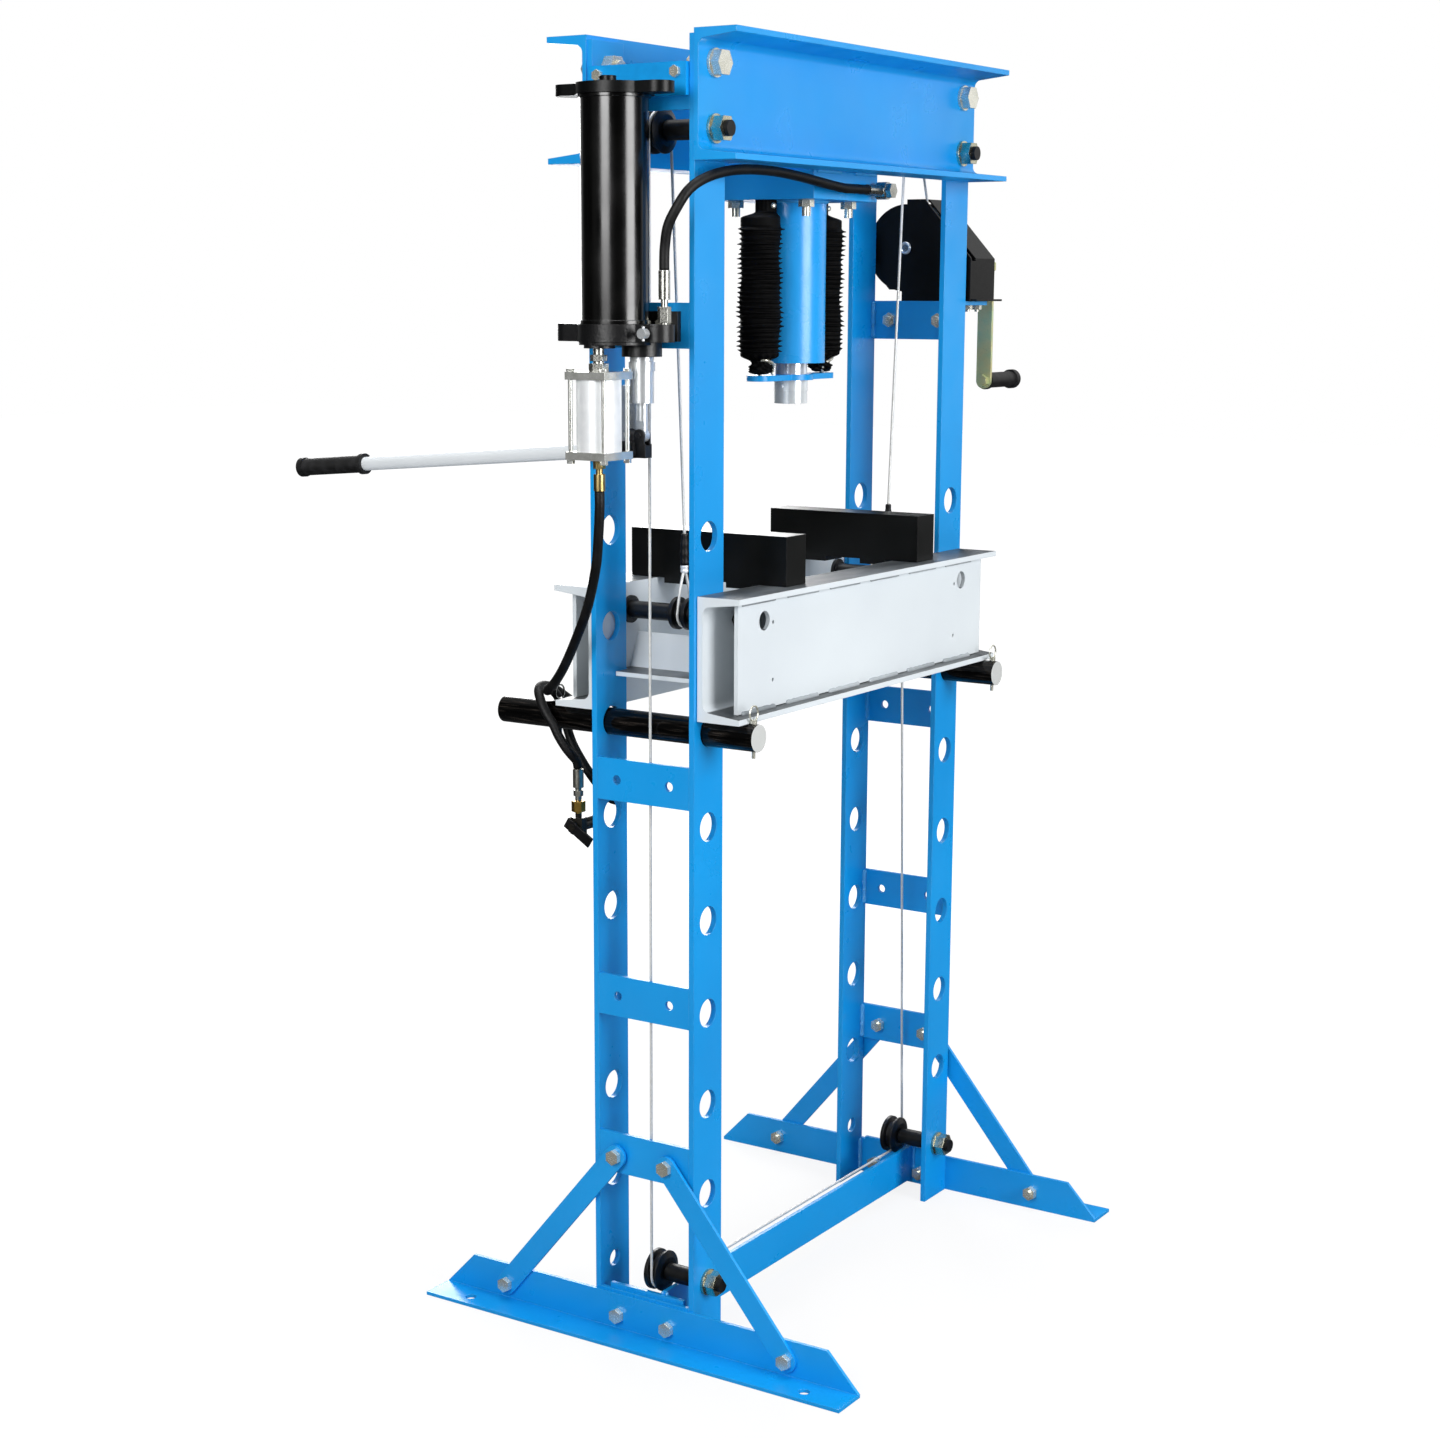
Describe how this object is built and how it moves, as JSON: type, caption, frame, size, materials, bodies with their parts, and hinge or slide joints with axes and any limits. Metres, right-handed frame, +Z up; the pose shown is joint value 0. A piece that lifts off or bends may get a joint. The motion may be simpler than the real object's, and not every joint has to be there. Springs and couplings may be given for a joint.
{
  "type": "air hydraulic shop press",
  "caption": "Free-standing workshop press with a pump-driven ram above a winch-lifted work bed on pins, bracing feet and press plates.",
  "frame": {"origin": "floor level under the ram axis, at the centre of the four floor anchor holes", "axes": "+Z up along the ram axis, +X toward the winch side, +Y toward the rear where the pump handle points"},
  "size_m": [1.0802, 0.9222, 1.766],
  "materials": {
    "blue_paint": "semi-gloss powder coat",
    "grey_paint": "semi-gloss powder coat",
    "black_paint": "satin paint",
    "black_steel": "black oxide",
    "zinc_steel": "bright zinc",
    "yellow_zinc": "yellow zinc",
    "machined_steel": "turned",
    "chrome": "polished",
    "wire_rope": "galvanised strand",
    "motor_aluminium": "natural",
    "brass": "turned",
    "hose_rubber": "matt",
    "cover_rubber": "matt",
    "grip_rubber": "ribbed",
    "handle_paint": "silver paint"
  },
  "bodies": {
    "frame": {"upright_front_left": "blue_paint", "upright_front_right": "blue_paint", "upright_rear_left": "blue_paint", "upright_rear_right": "blue_paint", "cross_plates": "blue_paint", "foot_left": "blue_paint", "foot_right": "blue_paint", "brace_bars": "blue_paint", "spreader_bar": "blue_paint", "frame_bolts": "zinc_steel", "head_beam_front": "blue_paint", "head_beam_rear": "blue_paint", "head_block": "blue_paint", "cylinder_barrel": "blue_paint", "spring_covers": "cover_rubber", "return_springs": "zinc_steel", "pump_top_cap": "black_paint", "reservoir_tube": "black_paint", "pump_base": "black_paint", "plunger_housing": "machined_steel", "air_motor": "motor_aluminium", "hose_fittings": "zinc_steel", "oil_hose": "hose_rubber", "air_hose": "hose_rubber", "air_valve": "brass", "winch_bracket": "blue_paint", "winch_housing": "black_paint", "pulley_axles": "black_steel", "rope_fixed": "wire_rope", "rope_upper": "wire_rope", "rope_lower": "wire_rope"},
    "ram": {"ram_rod": "chrome", "ram_nose": "chrome", "spring_plate": "blue_paint"},
    "bed": {"bed_channel_front": "grey_paint", "bed_channel_rear": "grey_paint", "bed_plates": "grey_paint", "bed_axles": "black_steel", "rope_slings": "wire_rope"},
    "press_plate_left": {"press_plate_left": "black_paint"},
    "press_plate_right": {"press_plate_right": "black_paint"},
    "handle": {"lever_bracket": "black_paint", "handle_tube": "handle_paint", "handle_grip": "grip_rubber"},
    "plunger": {"plunger_rod": "machined_steel"},
    "release_valve": {"release_knob": "zinc_steel"},
    "valve_lever": {"valve_lever": "black_paint"},
    "drum": {"winch_drum": "machined_steel", "drum_rope": "wire_rope"},
    "crank": {"crank_shaft": "machined_steel", "crank_arm": "yellow_zinc"},
    "crank_grip": {"crank_grip": "grip_rubber"},
    "pulley_top_left": {"pulley_top_left": "black_steel"},
    "pulley_top_right": {"pulley_top_right": "black_steel"},
    "pulley_low_left": {"pulley_low_left": "black_steel"},
    "pulley_low_right": {"pulley_low_right": "black_steel"},
    "pin_left": {"bed_pin_left": "black_steel"},
    "pin_right": {"bed_pin_right": "black_steel"},
    "clip_left": {"clip_left": "zinc_steel"},
    "clip_right": {"clip_right": "zinc_steel"}
  },
  "joints": [
    {"name": "ram_slide", "type": "slide", "parent": "frame", "child": "ram", "axis": [0, 0, 1], "range_m": [-0.15, 0], "stiffness_N_per_m": 600, "springref_m": 0.2, "deforming": ["spring_covers", "return_springs"]},
    {"name": "bed_slide", "type": "slide", "parent": "frame", "child": "bed", "axis": [0, 0, 1], "range_m": [0, 0.13], "deforming": ["rope_upper", "rope_lower"]},
    {"name": "drum_spin", "type": "hinge", "parent": "frame", "child": "drum", "pos_m": [0, 0.025, 1.51], "axis": [1, 0, 0], "range_deg": [0, 240.28]},
    {"name": "crank_spin", "type": "hinge", "parent": "frame", "child": "crank", "pos_m": [0, -0.059, 1.483], "axis": [1, 0, 0], "range_deg": [-720.82, 0]},
    {"name": "crank_grip_spin", "type": "hinge", "parent": "crank", "child": "crank_grip", "pos_m": [0, -0.059, 1.307], "axis": [1, 0, 0], "continuous": true},
    {"name": "pulley_top_left_spin", "type": "hinge", "parent": "frame", "child": "pulley_top_left", "pos_m": [-0.338, 0, 1.646], "axis": [0, 1, 0], "range_deg": [-297.95, 0]},
    {"name": "pulley_top_right_spin", "type": "hinge", "parent": "frame", "child": "pulley_top_right", "pos_m": [0.338, 0, 1.646], "axis": [0, 1, 0], "range_deg": [0, 297.95]},
    {"name": "pulley_low_left_spin", "type": "hinge", "parent": "frame", "child": "pulley_low_left", "pos_m": [-0.338, 0, 0.09], "axis": [0, 1, 0], "range_deg": [-297.95, 0]},
    {"name": "pulley_low_right_spin", "type": "hinge", "parent": "frame", "child": "pulley_low_right", "pos_m": [0.338, 0, 0.09], "axis": [0, 1, 0], "range_deg": [-297.95, 0]},
    {"name": "press_plate_left_lift", "type": "slide", "parent": "bed", "child": "press_plate_left", "axis": [0, 0, 1], "range_m": [0, 0.08]},
    {"name": "press_plate_right_lift", "type": "slide", "parent": "bed", "child": "press_plate_right", "axis": [0, 0, 1], "range_m": [0, 0.08]},
    {"name": "handle_pivot", "type": "hinge", "parent": "frame", "child": "handle", "pos_m": [0, 0.002, 1.262], "axis": [1, 0, 0], "range_deg": [0, 28]},
    {"name": "plunger_slide", "type": "slide", "parent": "frame", "child": "plunger", "axis": [0, 0, 1], "range_m": [-0.0109, 0.0001]},
    {"name": "release_valve_turn", "type": "hinge", "parent": "frame", "child": "release_valve", "pos_m": [0, -0.061, 1.392], "axis": [1, 0, 0], "range_deg": [0, 270]},
    {"name": "valve_lever_swing", "type": "hinge", "parent": "frame", "child": "valve_lever", "pos_m": [0, 0.124, 0.719], "axis": [1, 0, 0], "range_deg": [-60, 60]},
    {"name": "pin_left_play", "type": "slide", "parent": "frame", "child": "pin_left", "axis": [0, 1, 0], "range_m": [-0.008, 0]},
    {"name": "pin_right_play", "type": "slide", "parent": "frame", "child": "pin_right", "axis": [0, 1, 0], "range_m": [0, 0.008]},
    {"name": "clip_left_lift", "type": "slide", "parent": "pin_left", "child": "clip_left", "axis": [0, 0, 1], "range_m": [0, 0.06]},
    {"name": "clip_right_lift", "type": "slide", "parent": "pin_right", "child": "clip_right", "axis": [0, 0, 1], "range_m": [0, 0.06]}
  ],
  "couplings": [
    {"joint": "drum_spin", "follows": "bed_slide", "rad_per_m": 32.258},
    {"joint": "crank_spin", "follows": "bed_slide", "rad_per_m": -96.774},
    {"joint": "pulley_top_left_spin", "follows": "bed_slide", "rad_per_m": -40},
    {"joint": "pulley_top_right_spin", "follows": "bed_slide", "rad_per_m": 40},
    {"joint": "pulley_low_left_spin", "follows": "bed_slide", "rad_per_m": -40},
    {"joint": "pulley_low_right_spin", "follows": "bed_slide", "rad_per_m": -40},
    {"joint": "plunger_slide", "follows": "handle_pivot", "m_per_rad": -0.022}
  ]
}
